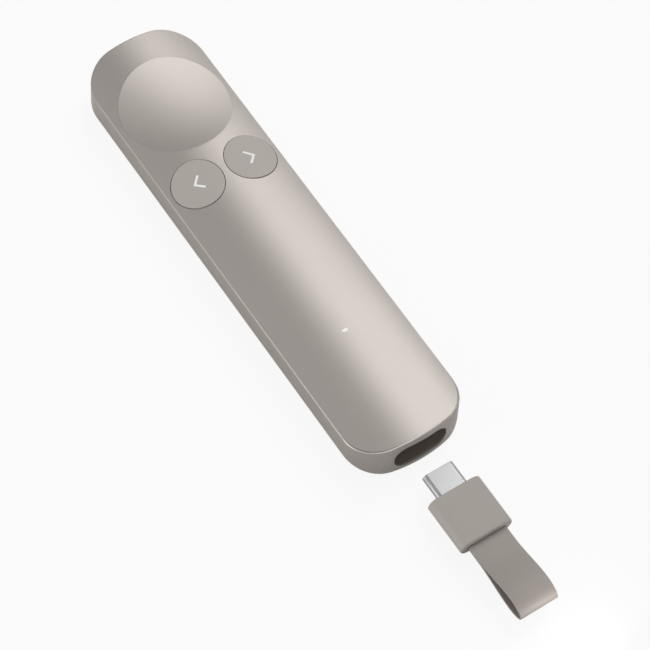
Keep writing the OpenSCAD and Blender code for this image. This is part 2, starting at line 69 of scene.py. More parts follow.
# Tub: the deep lower shell, moulded in one piece and painted. Its walls stand upright,
# its underside is rounded, and its thin rim wraps the cover all round. Four bosses inside
# carry the board, pockets take the cover's hooks and the tail wall is open for the dock.
mm = 0.001
body_l = 127.5 * mm
body_w = 30.4 * mm
half_l = body_l / 2
half_w = body_w / 2
crown_h = 3.1 * mm
body_h = 12 * mm
tail_corner_r = 9.5 * mm
tail_end_r = 38.5 * mm
front_corner_r = 10.2 * mm
front_end_r = 80 * mm
side_edge_r = 3 * mm
end_edge_r = 1.5 * mm
tail_lean = 0.9 * mm
wall_t = 1.2 * mm
floor_t = 1.2 * mm
foot_t = 0.8 * mm
foot_h = 1.8 * mm
lip_t = 0.35 * mm
lip_r = 0.28 * mm
cover_t = 1.2 * mm
axis_z = 5.2 * mm
dock_w = 14.4 * mm
dock_h = 7.3 * mm
dock_low_r = 3 * mm
dock_z = 6 * mm
sleeve_t = 0.5 * mm
board_top_z = 3.62 * mm
board_t = 0.8 * mm
boss_r = 1.9 * mm
screw_r = 0.8 * mm
screw_floor_t = 0.8 * mm
screw_places = [(x * mm, y * mm) for x in (-10.6, 10.6) for y in (53.05, -26.9)]
hook_l = 3 * mm
hook_t = 0.8 * mm
hook_h = 2.4 * mm
hook_barb = 0.35 * mm
hook_barb_h = 0.9 * mm
hook_rows = [y * mm for y in (-47.75, -23.9, 7.45, 51)]
hair = 0.004 * mm
weld = 0.001 * mm
cut_weld = 0.0005 * mm
cut_sliver = 0.0002 * mm
tail_skin = 0.4 * mm
hook_side_gap = 0.05 * mm
hook_root_h = 0.5 * mm
pocket_gap = 0.1 * mm
screw_hole_gap = 0.025 * mm
boss_root = 0.05 * mm
dock_cut_out = 3 * mm
dock_cut_in = 4 * mm
wall_levels = [z * mm for z in (4.5, 6, 7.5)]
foot_steps = 12
lip_steps = 6
dock_steps = 24
tube_segments = 48
corner_steps = 18
end_steps = 14
side_steps = 40

arch_r = (half_w ** 2 + crown_h ** 2) / (2 * crown_h)


def arch_z(x, drop=0):
    """Height of the arched top at a distance x from the centre line, or sunk by drop."""
    return body_h - arch_r + sqrt((arch_r - drop) ** 2 - min(abs(x), half_w) ** 2)


def quarter(half, corner, bow):
    """Half of an end of the plan: from its middle along the bow, then round the corner."""
    rise = bow - sqrt((bow - corner) ** 2 - (half - corner) ** 2)
    start = atan2(rise - bow, half - corner)
    points = []
    for i in range(end_steps + 1):
        a = -pi / 2 + (start + pi / 2) * i / end_steps
        points.append((bow * cos(a), bow + bow * sin(a)))
    for i in range(1, corner_steps + 1):
        a = start * (1 - i / corner_steps)
        points.append((half - corner + corner * cos(a), rise + corner * sin(a)))
    return points


def plan_half(side_in=0, end_in=0, tail_out=0):
    """Right half of the body's plan, from the middle of the tail to the middle of the front."""
    half = half_w - side_in
    tail = quarter(half, tail_corner_r - side_in, tail_end_r - side_in)
    front = quarter(half, front_corner_r - side_in, front_end_r - side_in)
    low = [(x, -half_l - tail_out + end_in + y) for x, y in tail]
    high = [(x, half_l - end_in - y) for x, y in reversed(front)]
    y0, y1 = low[-1][1], high[0][1]
    side = [(half, y0 + (y1 - y0) * i / side_steps) for i in range(1, side_steps)]
    return low + side + high


def plan(side_in=0, end_in=None, tail_out=0):
    """The body's whole plan, drawn in from its rim at the sides and at the ends."""
    right = plan_half(side_in, side_in if end_in is None else end_in, tail_out)
    return right + [(-x, y) for x, y in reversed(right[1:-1])]


def new_piece(name, bm, smooth_deg=35):
    """A mesh object made from bm, smooth except along its sharp edges."""
    bmesh.ops.recalc_face_normals(bm, faces=bm.faces)
    mesh = bpy.data.meshes.new(name)
    bm.to_mesh(mesh)
    bm.free()
    for polygon in mesh.polygons:
        polygon.use_smooth = True
    mesh.set_sharp_from_angle(angle=radians(smooth_deg))
    piece = bpy.data.objects.new(name, mesh)
    scene.collection.objects.link(piece)
    return piece


def loft(rings, closes=False):
    """A bmesh skin drawn through rings of equal count: capped, or with its two ends joined."""
    bm = bmesh.new()
    place = bm.verts.layers.int.new("place")
    start = [bm.verts.new(p) for p in rings[0]]
    for i, v in enumerate(start):
        v[place] = i
    edges = [bm.edges.new(pair) for pair in zip(start, start[1:] + start[:1])]
    first = edges
    for ring in rings[1:]:
        grown = bmesh.ops.extrude_edge_only(bm, edges=edges)["geom"]
        for v in grown:
            if isinstance(v, bmesh.types.BMVert):
                v.co = ring[v[place]]
        edges = [e for e in grown if isinstance(e, bmesh.types.BMEdge) and e.is_boundary]
    if closes:
        bmesh.ops.bridge_loops(bm, edges=first + edges)
    else:
        bmesh.ops.contextual_create(bm, geom=first)
        bmesh.ops.contextual_create(bm, geom=edges)
    return bm


def apply_all(piece):
    """Turns a piece's modifiers into its own mesh."""
    view = bpy.context.evaluated_depsgraph_get()
    mesh = bpy.data.meshes.new_from_object(piece.evaluated_get(view))
    old = piece.data
    piece.modifiers.clear()
    piece.data = mesh
    mesh.name = piece.name
    bpy.data.meshes.remove(old)


def combine(piece, others, operation, smooth_deg=35):
    """Cuts others from a piece, or joins them to it, and deletes them."""
    for other in others:
        step = piece.modifiers.new(operation, "BOOLEAN")
        step.operation = operation
        step.solver = "EXACT"
        step.object = other
    bpy.context.view_layer.update()
    apply_all(piece)
    for other in others:
        old = other.data
        bpy.data.objects.remove(other)
        bpy.data.meshes.remove(old)
    bm = bmesh.new()
    bm.from_mesh(piece.data)
    bmesh.ops.remove_doubles(bm, verts=bm.verts, dist=cut_weld)
    bmesh.ops.dissolve_degenerate(bm, edges=bm.edges, dist=cut_sliver)
    bm.to_mesh(piece.data)
    bm.free()
    for polygon in piece.data.polygons:
        polygon.use_smooth = True
    piece.data.set_sharp_from_angle(angle=radians(smooth_deg))


def bar_ring(width, height, corner, y, steps, z=axis_z):
    """Rounded rectangle across the plug's axis."""
    points = []
    for k, (sx, sz) in enumerate([(1, 1), (-1, 1), (-1, -1), (1, -1)]):
        for i in range(steps + 1):
            a = pi / 2 * (k + i / steps)
            points.append((sx * (width / 2 - corner) + corner * cos(a), y,
                           z + sz * (height / 2 - corner) + corner * sin(a)))
    return points


def dock_ring(grow, y=0):
    """The dock's section, grown all round: full round upper sides, tighter lower corners."""
    points = []
    for k, (sx, sz) in enumerate([(1, 1), (-1, 1), (-1, -1), (1, -1)]):
        r = dock_h / 2 if sz > 0 else dock_low_r
        for i in range(dock_steps + 1):
            a = pi / 2 * (k + i / dock_steps)
            points.append((sx * (dock_w / 2 - r) + (r + grow) * cos(a), y,
                           dock_z + sz * (dock_h / 2 - r) + (r + grow) * sin(a)))
    return points


def tail_y(x, z):
    """Place of the tail wall's face behind a point of the rim."""
    return -half_l - tail_lean * (1 - z / body_h) + tail_end_r - sqrt(tail_end_r ** 2 - x * x)


def tube(name, radius, places, z0, z1):
    """Upright cylinders at the places given."""
    bm = bmesh.new()
    for x, y in places:
        spot = Matrix.Translation((x, y, (z0 + z1) / 2))
        bmesh.ops.create_cone(bm, cap_ends=True, segments=tube_segments, radius1=radius,
                              radius2=radius, depth=z1 - z0, matrix=spot)
    return new_piece(name, bm)


def hooks(name, grow):
    """The cover's barbed hooks, or with grow the pockets that take them."""
    leg_out = half_w - wall_t - hook_side_gap
    high = body_h - crown_h
    low = high - cover_t - hook_h
    barb_z = low + hook_barb_h / 2
    barb_x = half_w - wall_t + hook_barb + grow
    side = [(leg_out - hook_t - grow, high - hook_root_h), (leg_out, high - hook_root_h),
            (leg_out, low + hook_barb_h + grow), (barb_x, barb_z + grow),
            (barb_x, barb_z - grow), (leg_out, low - grow), (leg_out - hook_t - grow, low - grow)]
    bm = bmesh.new()
    for turned in (1, -1):
        for y in hook_rows:
            start = [bm.verts.new((turned * x, y - hook_l / 2 - grow, z)) for x, z in side]
            face = bm.faces.new(start)
            grown = bmesh.ops.extrude_face_region(bm, geom=[face])["geom"]
            moved = [v for v in grown if isinstance(v, bmesh.types.BMVert)]
            bmesh.ops.translate(bm, verts=moved, vec=(0, hook_l + 2 * grow, 0))
    return new_piece(name, bm)


def outer_ring(z):
    """Ring of the tub's outer side below its rim, with the rounded foot and the leaning tail."""

    def draw_in(r):
        """How far an edge of radius r stands back at this height."""
        return r - sqrt(r * r - (r - z) ** 2) if z < r else 0

    lean = tail_lean * (1 - z / body_h)
    return [(x, y, z) for x, y in plan(draw_in(side_edge_r), draw_in(end_edge_r), lean)]


def rim_ring(inset, drop):
    """Ring near the rim, which follows the arch of the cover."""
    lean = [tail_lean * (1 - arch_z(x) / body_h) for x, y in plan()]
    return [(x, y - (out if y < 0 else 0), arch_z(x) - drop)
            for (x, y), out in zip(plan(inset), lean)]


foot_levels = [side_edge_r * (1 - cos(pi / 2 * k / foot_steps)) for k in range(foot_steps + 1)]
tub_rings = [outer_ring(z) for z in foot_levels + wall_levels]
for k in range(lip_steps + 1):
    a = pi / 2 * k / lip_steps
    tub_rings.append(rim_ring(lip_r * (1 - cos(a)), lip_r * (1 - sin(a))))
tub_rings += [rim_ring(lip_t, 0), rim_ring(lip_t, cover_t), rim_ring(wall_t, cover_t)]
tub_rings += [[(x, y, z) for x, y in plan(inset)] for inset, z in (
    (wall_t, floor_t + foot_h), (wall_t + foot_t, floor_t + foot_h), (wall_t + foot_t, floor_t))]
tub = new_piece("tub", loft(tub_rings))
bosses = tube("bosses", boss_r, screw_places, floor_t - boss_root, board_top_z - board_t)
combine(tub, [bosses], "UNION")
dock_hole = new_piece("dock_hole", loft(
    [dock_ring(0, y) for y in (-half_l - dock_cut_out, -half_l + dock_cut_in)]))
dock_seat_rings = []
for grow, y in ((sleeve_t, -half_l + dock_cut_in), (sleeve_t, None), (-sleeve_t, None)):
    dock_seat_rings.append([(x, tail_y(x, z) + tail_skin if y is None else y, z)
                            for x, _, z in dock_ring(grow)])
dock_seat = new_piece("dock_seat", loft(dock_seat_rings))
screw_holes = tube("screw_holes", screw_r + screw_hole_gap, screw_places, screw_floor_t, board_top_z)
combine(tub, [hooks("pockets", pocket_gap), dock_hole, dock_seat, screw_holes], "DIFFERENCE")


def node_material(name):
    """An empty node material with its Principled shader and output."""
    material = bpy.data.materials.new(name)
    material.use_nodes = True
    return material, material.node_tree, material.node_tree.nodes["Principled BSDF"]


broad_per_metre = 60
broad_share = 0.35


def grain_group():
    """Fine moulded or sprayed grain: a speckle of tone, of roughness and of height."""
    group = bpy.data.node_groups.new("fine_grain", "ShaderNodeTree")
    sockets = group.interface
    for name, kind, value in (("Colour", "NodeSocketColor", (0.5, 0.5, 0.5, 1)),
                              ("Tone change", "NodeSocketFloat", 0.03),
                              ("Grain per metre", "NodeSocketFloat", 9000),
                              ("Roughness", "NodeSocketFloat", 0.5),
                              ("Roughness change", "NodeSocketFloat", 0.05)):
        socket = sockets.new_socket(name, in_out="INPUT", socket_type=kind)
        socket.default_value = value
    for name, kind in (("Colour", "NodeSocketColor"), ("Roughness", "NodeSocketFloat"),
                       ("Height", "NodeSocketFloat")):
        sockets.new_socket(name, in_out="OUTPUT", socket_type=kind)
    put = group.nodes.new
    link = group.links.new
    given = put("NodeGroupInput")
    sent = put("NodeGroupOutput")
    place = put("ShaderNodeTexCoord")
    fine = put("ShaderNodeTexNoise")
    fine.inputs["Detail"].default_value = 2
    broad = put("ShaderNodeTexNoise")
    broad.inputs["Scale"].default_value = broad_per_metre
    broad.inputs["Detail"].default_value = 1
    link(place.outputs["Object"], fine.inputs["Vector"])
    link(place.outputs["Object"], broad.inputs["Vector"])
    link(given.outputs["Grain per metre"], fine.inputs["Scale"])
    both = put("ShaderNodeMath")
    both.operation = "MULTIPLY_ADD"
    link(broad.outputs["Fac"], both.inputs[0])
    both.inputs[1].default_value = broad_share
    link(fine.outputs["Fac"], both.inputs[2])
    centred = put("ShaderNodeMath")
    centred.operation = "SUBTRACT"
    link(both.outputs[0], centred.inputs[0])
    centred.inputs[1].default_value = (1 + broad_share) / 2
    tone = put("ShaderNodeMath")
    tone.operation = "MULTIPLY_ADD"
    link(centred.outputs[0], tone.inputs[0])
    link(given.outputs["Tone change"], tone.inputs[1])
    tone.inputs[2].default_value = 1
    colour = put("ShaderNodeVectorMath")
    colour.operation = "SCALE"
    link(given.outputs["Colour"], colour.inputs[0])
    link(tone.outputs[0], colour.inputs["Scale"])
    rough = put("ShaderNodeMath")
    rough.operation = "MULTIPLY_ADD"
    link(centred.outputs[0], rough.inputs[0])
    link(given.outputs["Roughness change"], rough.inputs[1])
    link(given.outputs["Roughness"], rough.inputs[2])
    link(colour.outputs[0], sent.inputs["Colour"])
    link(rough.outputs[0], sent.inputs["Roughness"])
    link(fine.outputs["Fac"], sent.inputs["Height"])
    return group


fine_grain = grain_group()


def grained(name, colour, rough, metallic=0, tone=0.05, rough_change=0.08, per_metre=9000,
            height_mm=0.002, strength=0.15):
    """A finish with the fine grain on it."""
    material, tree, shader = node_material(name)
    grain = tree.nodes.new("ShaderNodeGroup")
    grain.node_tree = fine_grain
    grain.inputs["Colour"].default_value = (*colour, 1)
    grain.inputs["Tone change"].default_value = tone
    grain.inputs["Grain per metre"].default_value = per_metre
    grain.inputs["Roughness"].default_value = rough
    grain.inputs["Roughness change"].default_value = rough_change
    bump = tree.nodes.new("ShaderNodeBump")
    bump.inputs["Strength"].default_value = strength
    bump.inputs["Distance"].default_value = height_mm * mm
    tree.links.new(grain.outputs["Colour"], shader.inputs["Base Color"])
    tree.links.new(grain.outputs["Roughness"], shader.inputs["Roughness"])
    tree.links.new(grain.outputs["Height"], bump.inputs["Height"])
    tree.links.new(bump.outputs["Normal"], shader.inputs["Normal"])
    shader.inputs["Metallic"].default_value = metallic
    return material


warm_shine = (1, 0.94, 0.87, 1)
satin_paint = grained("satin_paint", (0.372, 0.342, 0.317), 0.42, metallic=0.6, tone=0.06,
                      rough_change=0.05, per_metre=16000, height_mm=0.001, strength=0.1)
paint_shader = satin_paint.node_tree.nodes["Principled BSDF"]
paint_shader.inputs["Specular Tint"].default_value = warm_shine


def dress(piece, material, body, slot, *replaced):
    """Gives a piece its finish, the body it moves with and the nodes it stands for."""
    piece.data.materials.clear()
    piece.data.materials.append(material)
    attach(piece, body)
    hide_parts(*replaced)


dress(tub, satin_paint, "handset", "shell", "bottom_shell")


# Cover: the arched top shell, let into the tub's rim with a hairline all round. It is moulded
# and painted like the tub, has three button holes and a slit for the light, and eight hooks.
dish_r = 13.8 * mm
dish_y = 42.05 * mm
dish_gap = 0.05 * mm
key_r = 6.4 * mm
key_x = 7.4 * mm
key_y = 19.85 * mm
key_gap = 0.16 * mm
light_y = -31.9 * mm
light_w = 1.7 * mm
light_t = 0.8 * mm
light_hole_gap = hair
dish_flare = 0.01 * mm
key_flare = 0.04 * mm
flare_along = 0.4
flare_out = 1.6
cut_low_z = 6 * mm
cut_high_z = 14 * mm
cover_columns = 96
dish_segments = 256
key_segments = 160
slot_steps = 12
cover_smooth_deg = 30


def cover_grid(inset):
    """Rows of points across the cover, one for each place along its plan, on the arch."""
    rows = []
    for x_edge, y in plan_half(inset, inset):
        row = []
        for i in range(cover_columns + 1):
            x = x_edge * (2 * i / cover_columns - 1)
            row.append((x, y, arch_z(x)))
        rows.append(row)
    return rows


def cover_shell():
    """Both faces of the cover as grids, joined round their edges."""
    bm = bmesh.new()
    top_rows = cover_grid(lip_t + hair)
    count = len(top_rows)
    bmesh.ops.create_grid(bm, x_segments=cover_columns, y_segments=count - 1, size=1)
    bm.verts.ensure_lookup_table()
    for j, row in enumerate(top_rows):
        for i, point in enumerate(row):
            bm.verts[j * (cover_columns + 1) + i].co = point
    grown = bmesh.ops.extrude_face_region(bm, geom=list(bm.faces), use_keep_orig=True)["geom"]
    for v in grown:
        if isinstance(v, bmesh.types.BMVert):
            v.co.z = arch_z(v.co.x, cover_t)
    bmesh.ops.remove_doubles(bm, verts=bm.verts, dist=weld)
    return bm


cover = new_piece("cover", cover_shell())


def hole_cutter(name, radius, x0, y0, flare, segments):
    """A round cutter that widens a little where it meets the arch, to break the hole's edge."""
    rings = []
    for r, height in ((radius, lambda x: cut_low_z), (radius, lambda x: arch_z(x) - flare),
                      (radius + flare * flare_along, lambda x: arch_z(x) - flare * flare_along),
                      (radius + flare * flare_out, lambda x: arch_z(x) + flare * flare_along),
                      (radius + flare * flare_out, lambda x: cut_high_z)):
        ring = []
        for i in range(segments):
            a = 2 * pi * i / segments
            x, y = x0 + r * cos(a), y0 + r * sin(a)
            ring.append((x, y, height(x)))
        rings.append(ring)
    return new_piece(name, loft(rings))


def slot_ring(width, height, x0, y0, z):
    """Upright slot with round ends, as a ring of points."""
    points = []
    for side in (1, -1):
        for i in range(slot_steps + 1):
            a = pi * i / slot_steps - side * pi / 2
            points.append((x0 + side * (width - height) / 2 + height / 2 * cos(a),
                           y0 + height / 2 * sin(a), z))
    return points


light_hole = new_piece("light_hole", loft(
    [slot_ring(light_w + light_hole_gap, light_t + light_hole_gap, 0, light_y, z)
     for z in (cut_low_z, cut_high_z)]))
combine(cover, [hole_cutter("dish_hole", dish_r + dish_gap, 0, dish_y, dish_flare, dish_segments),
                hole_cutter("back_hole", key_r + key_gap, -key_x, key_y, key_flare, key_segments),
                hole_cutter("next_hole", key_r + key_gap, key_x, key_y, key_flare, key_segments),
                light_hole], "DIFFERENCE", cover_smooth_deg)
combine(cover, [hooks("cover_hooks", 0)], "UNION", cover_smooth_deg)
dress(cover, satin_paint, "handset", "shell", "top_shell")


# Pointer button: a large round cap, painted like the cover. Its top is a saddle, hollow along
# the body and arched across it, that meets the cover all round. Ears under the cover keep it
# in, and a post presses the switch.
dish_depth = 1.27 * mm
dish_floor_z = 8 * mm
dish_edge_r = 0.03 * mm
dish_side_gap = 0.015 * mm
stem_top_z = 6.32 * mm
ear_reach = 1.4 * mm
ear_h = 0.8 * mm
post_overlap = 0.3 * mm
dish_post_r = 2.2 * mm
dish_ear_w = 8 * mm
dish_ear_z = 10.467 * mm
dish_rings = 44
cap_edge_steps = 4
cap_edge_clear = 1.5
dish_long_r = (dish_r ** 2 + dish_depth ** 2) / (2 * dish_depth)
dish_cross_r = 1 / (1 / arch_r - 1 / dish_long_r)


def saddle_z(x, y):
    """Height of the dish."""
    neck = dish_long_r + dish_cross_r - sqrt(dish_cross_r ** 2 - x * x)
    height = body_h - dish_depth + dish_long_r - sqrt(neck ** 2 - (y - dish_y) ** 2)
    return min(body_h, height)


def spun_cap(name, radius, x0, y0, floor_z, top_z, edge_r, segments, rings):
    """A round cap whose top follows top_z, with a broken edge, spun about its own axis."""
    bm = bmesh.new()
    layer = bm.verts.layers.float.new("drop")
    side = [(radius * i / rings, 0) for i in range(rings)]
    turns = [pi / 2 * k / cap_edge_steps for k in range(cap_edge_steps + 1)]
    side += [(radius - edge_r + edge_r * sin(a), edge_r * (1 - cos(a))) for a in turns]
    side = [p for i, p in enumerate(side) if i >= rings or p[0] < radius - cap_edge_clear * edge_r]
    points = [bm.verts.new((x0 + r, y0, 0)) for r, drop in side]
    for v, (r, drop) in zip(points, side):
        v[layer] = drop
    low = [bm.verts.new((x0 + radius, y0, 0)), bm.verts.new((x0, y0, 0))]
    for v in low:
        v[layer] = -1
    points += low
    edges = [bm.edges.new(pair) for pair in zip(points, points[1:])]
    bmesh.ops.spin(bm, geom=points + edges, cent=(x0, y0, 0), axis=(0, 0, 1), dvec=(0, 0, 0),
                   angle=2 * pi, steps=segments, use_merge=True, use_duplicate=False)
    for v in bm.verts:
        v.co.z = floor_z if v[layer] < 0 else top_z(v.co.x, v.co.y) - v[layer]
    bmesh.ops.remove_doubles(bm, verts=bm.verts, dist=weld)
    return new_piece(name, bm)


def cap_carrier(name, x0, y0, cap_r, cap_floor_z, post_r, ear_w, ear_z):
    """The post under a cap and the bar whose two ends stand out as its ears."""
    post = tube(name, post_r, [(x0, y0)], stem_top_z, cap_floor_z + post_overlap)
    bm = bmesh.new()
    bmesh.ops.create_cube(bm, size=1)
    bmesh.ops.scale(bm, verts=bm.verts, vec=(ear_w, 2 * (cap_r + ear_reach), ear_h))
    bmesh.ops.translate(bm, verts=bm.verts, vec=(x0, y0, ear_z - ear_h / 2))
    return [post, new_piece(name + "_ears", bm)]


dish = spun_cap("pointer_cap", dish_r + dish_gap - dish_side_gap, 0, dish_y, dish_floor_z,
                saddle_z, dish_edge_r, dish_segments, dish_rings)
combine(dish, cap_carrier("dish_post", 0, dish_y, dish_r, dish_floor_z, dish_post_r, dish_ear_w,
                          dish_ear_z), "UNION")
dress(dish, satin_paint, "pointer_key", "shell", "pointer_button")


# Back and next buttons: round caps of plain matte plastic that stand a little proud of the
# arch, each with a white arrow that points outwards, moulded into a pocket in its top.
key_floor_z = 8.6 * mm
key_edge_r = 0.06 * mm
key_rise = 0.2 * mm
key_side_gap = 0.14 * mm
arrow_l = 4.1 * mm
arrow_w = 2.05 * mm
arrow_stroke = 0.55 * mm
arrow_shift = 0.25 * mm
arrow_depth = 0.4 * mm
arrow_proud = 0.01 * mm
pocket_over = 1 * mm
key_post_r = 1.7 * mm
key_ear_w = 5 * mm
key_ear_z = 9.353 * mm
key_rings = 26

key_matte = grained("key_matte", (0.414, 0.375, 0.344), 0.5, tone=0.05, per_metre=12000,
                    height_mm=0.002, strength=0.2)
arrow_white = grained("arrow_white", (0.86, 0.86, 0.83), 0.5, tone=0.02, per_metre=12000)


def key_top(x, y=0):
    """Height of a key's top, a little proud of the arch, and the same at every y."""
    drop = body_h - arch_z(x)
    return arch_z(x) + key_rise * (1 - exp(-drop / key_rise))


def arrow_piece(name, side, low, high):
    """The arrow between two heights measured from the key's top."""
    across = arrow_stroke * sqrt(2)
    outline = [(0, arrow_l / 2), (arrow_w, 0), (0, -arrow_l / 2),
               (-across / 2, across / 2 - arrow_l / 2), (arrow_w - across, 0),
               (-across / 2, arrow_l / 2 - across / 2)]
    x0 = key_x + arrow_shift - arrow_w / 2
    rings = [[(side * (x0 + x), key_y + y, key_top(x0 + x) + dz) for x, y in outline]
             for dz in (low, high)]
    return new_piece(name, loft(rings))


for side, word in ((-1, "back"), (1, "next")):
    cap = spun_cap(word + "_cap", key_r + key_gap - key_side_gap, side * key_x, key_y,
                   key_floor_z, key_top, key_edge_r, key_segments, key_rings)
    combine(cap, cap_carrier(word + "_post", side * key_x, key_y, key_r, key_floor_z,
                             key_post_r, key_ear_w, key_ear_z), "UNION")
    combine(cap, [arrow_piece("pocket", side, -arrow_depth, pocket_over)], "DIFFERENCE")
    dress(cap, key_matte, word + "_key", "key", word + "_button")
    arrow = arrow_piece(word + "_chevron", side, -arrow_depth, arrow_proud)
    dress(arrow, arrow_white, word + "_key", "arrow", word + "_arrow")


# Status light: a small milky white pipe that fills the slit in the cover and spreads the
# light of the lamp on the board. Its top edge is rounded off.
pipe_low_z = 4.32 * mm
flange_out = 0.5 * mm
flange_h = 0.8 * mm
flange_gap = 0.05 * mm
flange_top_z = arch_z(light_w, cover_t) - flange_gap
flange_low_z = flange_top_z - flange_h
pipe_edge = [(grow * mm, drop * mm) for grow, drop in ((0, 0.06), (-0.07, 0.02), (-0.2, 0))]

pipe_levels = [(0, pipe_low_z), (0, flange_low_z), (flange_out, flange_low_z),
               (flange_out, flange_top_z), (0, flange_top_z)]
pipe_levels += [(grow, body_h - drop) for grow, drop in pipe_edge]
light_pipe = new_piece("light_pipe", loft(
    [slot_ring(light_w + 2 * grow, light_t + 2 * grow, 0, light_y, z) for grow, z in pipe_levels]))
milky_glow = grained("milky_glow", (0.86, 0.86, 0.83), 0.4, tone=0.01, per_metre=4000)
glow_shader = milky_glow.node_tree.nodes["Principled BSDF"]
glow_shader.inputs["Emission Color"].default_value = (1, 1, 1, 1)
glow_shader.inputs["Emission Strength"].default_value = 0.1
dress(light_pipe, milky_glow, "handset", "lens", "status_lens")


# Dock lining: a moulded tube of dark brown plastic with rounded sides, seated behind the
# opening in the tail wall. Its floor has the mouth of the charging socket.
dock_floor_y = -50.75 * mm
plug_w = 8.25 * mm
plug_t = 2.4 * mm
mouth_gap = 0.3 * mm
lining_gap = 0.05 * mm
lining_mid_y = -60 * mm
lining_foot_r = 0.3 * mm


def lining_ring(grow, y=None, out=0):
    """Ring of the lining's section, at a depth or against the tail wall's face."""
    return [(x, tail_y(x, z) + out if y is None else y, z)
            for x, _, z in dock_ring(grow)]


def mouth_ring(y):
    """Ring of the hole in the lining's floor."""
    height = plug_t + mouth_gap
    return bar_ring(plug_w + mouth_gap, height, height / 2, y, dock_steps)


lining_out = sleeve_t - lining_gap
lining_front = tail_skin + hair
lining_rings = [mouth_ring(dock_floor_y + sleeve_t), lining_ring(lining_out, dock_floor_y + sleeve_t),
                lining_ring(lining_out, lining_mid_y), lining_ring(lining_out, None, lining_front),
                lining_ring(0, None, lining_front), lining_ring(0, lining_mid_y),
                lining_ring(0, dock_floor_y - lining_foot_r),
                lining_ring(-lining_foot_r, dock_floor_y), mouth_ring(dock_floor_y)]
lining = new_piece("dock_lining", loft(lining_rings, closes=True))
dark_moulding = grained("dark_moulding", (0.27, 0.22, 0.185), 0.5, tone=0.1, per_metre=7000,
                        height_mm=0.003, strength=0.25)
dress(lining, dark_moulding, "handset", "sleeve", "dock_sleeve")


# Charging socket: a drawn steel shell with rounded sides behind the dock's floor, and a black
# tongue in it with gold contacts on both faces.
socket_w = 8.94 * mm
socket_h = 3.16 * mm
socket_l = 7.3 * mm
socket_skin = 0.3 * mm
socket_y = -50.2 * mm
tongue_w = 6.69 * mm
tongue_t = 0.7 * mm
pad_w = 0.25 * mm
pad_pitch = 0.5 * mm
pads_a_side = 12
pad_edge = 0.012 * mm
socket_rim_r = 0.08 * mm
rim_steps = 4
socket_steps = 14


def steel_tube(name, width, height, skin, y_back, y_mouth, rim_r, steps):
    """A tube with rounded sides and a rounded rim at its mouth."""
    way = 1 if y_mouth > y_back else -1

    def at(grow, y):
        """Ring of the tube, grown all round."""
        h = height + 2 * grow
        return bar_ring(width + 2 * grow, h, h / 2, y, steps)

    rings = [at(0, y_back)]
    for k in range(rim_steps + 1):
        a = pi / 2 * k / rim_steps
        rings.append(at(-rim_r * (1 - cos(a)), y_mouth - way * rim_r * (1 - sin(a))))
    for k in range(1, rim_steps + 1):
        a = pi / 2 * k / rim_steps
        rings.append(at(-skin + rim_r * (1 - sin(a)), y_mouth - way * rim_r * (1 - cos(a))))
    rings.append(at(-skin, y_back))
    return new_piece(name, loft(rings, closes=True))


def contact_pads(name, y0, length, faces_z, thick):
    """Two rows of gold contacts."""
    bm = bmesh.new()
    for z in faces_z:
        for i in range(pads_a_side):
            x = (i - (pads_a_side - 1) / 2) * pad_pitch
            made = bmesh.ops.create_cube(bm, size=1)["verts"]
            bmesh.ops.scale(bm, verts=made, vec=(pad_w, length, thick))
            bmesh.ops.translate(bm, verts=made, vec=(x, y0 + length / 2, z))
    bmesh.ops.bevel(bm, geom=list(bm.edges), offset=pad_edge, offset_type="OFFSET", segments=2,
                    profile=0.5, affect="EDGES", material=-1)
    return new_piece(name, bm)


satin_steel = grained("satin_steel", (0.62, 0.62, 0.63), 0.3, metallic=1, tone=0.05,
                      per_metre=6000, height_mm=0.0008, strength=0.15)
socket = steel_tube("socket_can", socket_w, socket_h, socket_skin, socket_y + socket_l, socket_y,
                    socket_rim_r, socket_steps)
dress(socket, satin_steel, "handset", "socket_steel", "socket_shell")

black_moulding = grained("black_moulding", (0.02, 0.02, 0.022), 0.45, tone=0.1, per_metre=8000)
gold_plate = grained("gold_plate", (0.83, 0.62, 0.26), 0.28, metallic=1, tone=0.04, per_metre=8000)
tongue_tip = 0.2 * mm
tongue_thin_share = 1.4
tongue_edge_r = 0.12 * mm
tongue_in = 1 * mm
socket_back_t = 1.2 * mm
tongue_steps = 6
blade_pad_in = 0.6 * mm
blade_pad_l = 3.2 * mm
blade_pad_t = 0.03 * mm
blade_pad_rise = 0.005 * mm
tongue_y = socket_y + tongue_in
tongue_root = socket_y + socket_l - socket_back_t
tongue_rings = []
for grow, y in ((-tongue_tip, tongue_y), (0, tongue_y + tongue_tip), (0, tongue_root)):
    tongue_rings.append(bar_ring(tongue_w + grow, tongue_t + grow * tongue_thin_share,
                                 tongue_edge_r, y, tongue_steps))
back_w = socket_w - 2 * socket_skin
back_h = socket_h - 2 * socket_skin
for y in (tongue_root, socket_y + socket_l):
    tongue_rings.append(bar_ring(back_w, back_h, back_h / 2, y, tongue_steps))
tongue = new_piece("socket_blade", loft(tongue_rings))
dress(tongue, black_moulding, "handset", "black_moulding", "socket_tongue")
blade_pads = contact_pads("socket_pads", tongue_y + blade_pad_in, blade_pad_l,
                          [axis_z + s * (tongue_t / 2 + blade_pad_rise) for s in (-1, 1)],
                          blade_pad_t)
dress(blade_pads, gold_plate, "handset", "gold")


